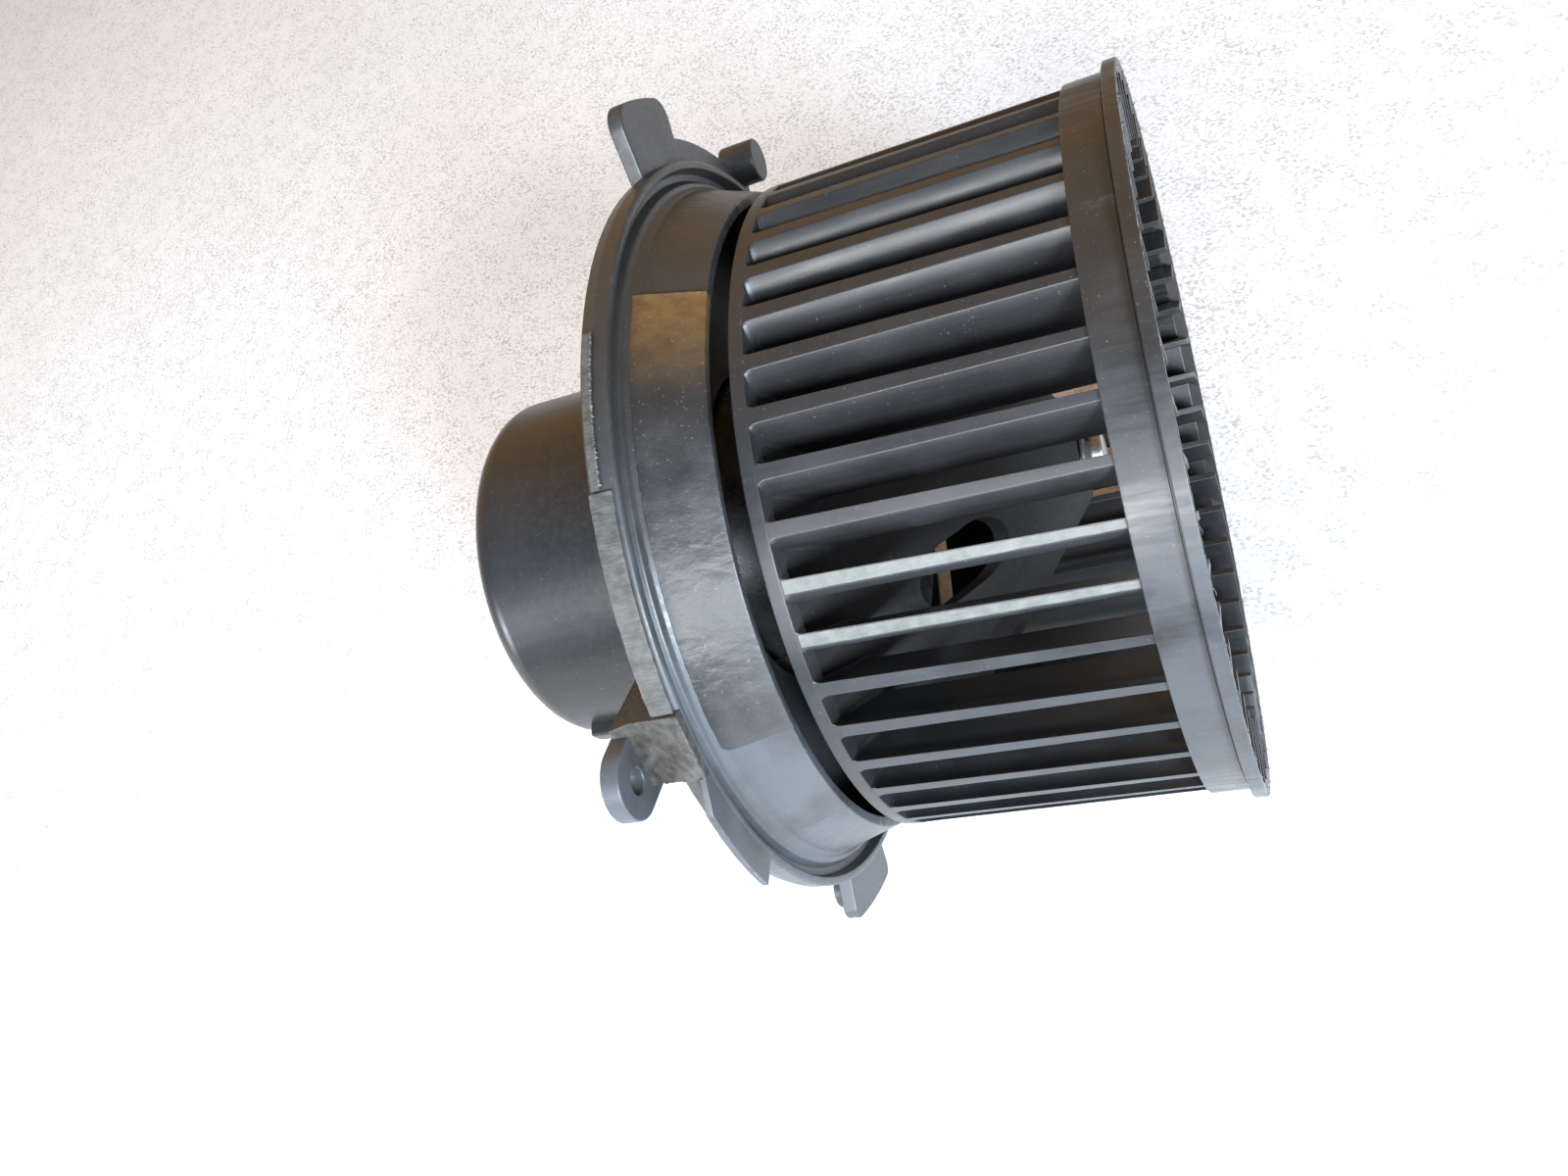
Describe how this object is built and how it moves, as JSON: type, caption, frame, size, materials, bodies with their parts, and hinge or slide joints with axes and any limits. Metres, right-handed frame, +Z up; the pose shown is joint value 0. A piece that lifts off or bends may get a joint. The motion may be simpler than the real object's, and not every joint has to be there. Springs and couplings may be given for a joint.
{
  "type": "blower motor wheel",
  "caption": "Vehicle heater blower: a squirrel-cage wheel on an electric motor in a domed cover, carried by a round mounting flange with screw lugs and a plug socket.",
  "frame": {"origin": "on the spin axis, in the plane of the flange plate's front side", "axes": "+Y along the spin axis towards the air inlet, +Z up as the object lies, +X across"},
  "size_m": [0.1807, 0.1517, 0.1659],
  "materials": {
    "cover_plastic": "satin moulded black",
    "flange_plastic": "matte moulded black",
    "wheel_plastic": "satin moulded black",
    "screw_steel": "zinc plated",
    "can_steel": "zinc plated drawn steel",
    "bolt_steel": "yellow zinc plated",
    "magnet_ferrite": "ground dark grey ceramic",
    "bush_bronze": "sintered",
    "isolator_rubber": "moulded",
    "card_board": "brown laminate",
    "tube_brass": "pressed sheet",
    "spring_steel": "bright wire",
    "brush_carbon": "ground graphite and copper",
    "shaft_steel": "ground",
    "core_iron": "stacked sheet",
    "winding_copper": "enamelled copper wire",
    "commutator_copper": "turned copper",
    "washer_plastic": "natural nylon",
    "insert_brass": "turned",
    "clip_steel": "spring steel",
    "socket_plastic": "moulded black",
    "terminal_tin": "tinned"
  },
  "bodies": {
    "housing": {"mounting_flange": "flange_plastic", "motor_cover": "cover_plastic", "cover_screw_1": "screw_steel", "cover_screw_2": "screw_steel", "cover_screw_3": "screw_steel", "motor_can": "can_steel", "front_end_plate": "can_steel", "through_bolt_1": "bolt_steel", "through_bolt_2": "bolt_steel", "magnet_1": "magnet_ferrite", "magnet_2": "magnet_ferrite", "rear_bearing": "bush_bronze", "front_bearing": "bush_bronze", "rear_isolator": "isolator_rubber", "front_isolator": "isolator_rubber", "brush_card": "card_board", "brush_tube_1": "tube_brass", "brush_tube_2": "tube_brass", "brush_spring_1": "spring_steel", "brush_spring_2": "spring_steel", "connector_shell": "socket_plastic", "terminal_1": "terminal_tin", "terminal_2": "terminal_tin"},
    "rotor": {"blower_wheel": "wheel_plastic", "hub_insert": "insert_brass", "shaft_clip": "clip_steel", "shaft": "shaft_steel", "armature_core": "core_iron", "winding_front": "winding_copper", "winding_rear": "winding_copper", "commutator": "commutator_copper", "rear_washer": "washer_plastic", "front_washer": "washer_plastic"},
    "brush_1": {"brush_1": "brush_carbon"},
    "brush_2": {"brush_2": "brush_carbon"}
  },
  "joints": [
    {"name": "wheel_spin", "type": "hinge", "parent": "housing", "child": "rotor", "pos_m": [0, 0, 0], "axis": [0, 1, 0], "continuous": true},
    {"name": "brush_1_slide", "type": "slide", "parent": "housing", "child": "brush_1", "axis": [0, 0, 1], "range_m": [0, 0.004], "stiffness_N_per_m": 20, "springref_m": -0.005, "deforming": ["brush_spring_1"]},
    {"name": "brush_2_slide", "type": "slide", "parent": "housing", "child": "brush_2", "axis": [0, 0, -1], "range_m": [0, 0.004], "stiffness_N_per_m": 20, "springref_m": -0.005, "deforming": ["brush_spring_2"]}
  ]
}
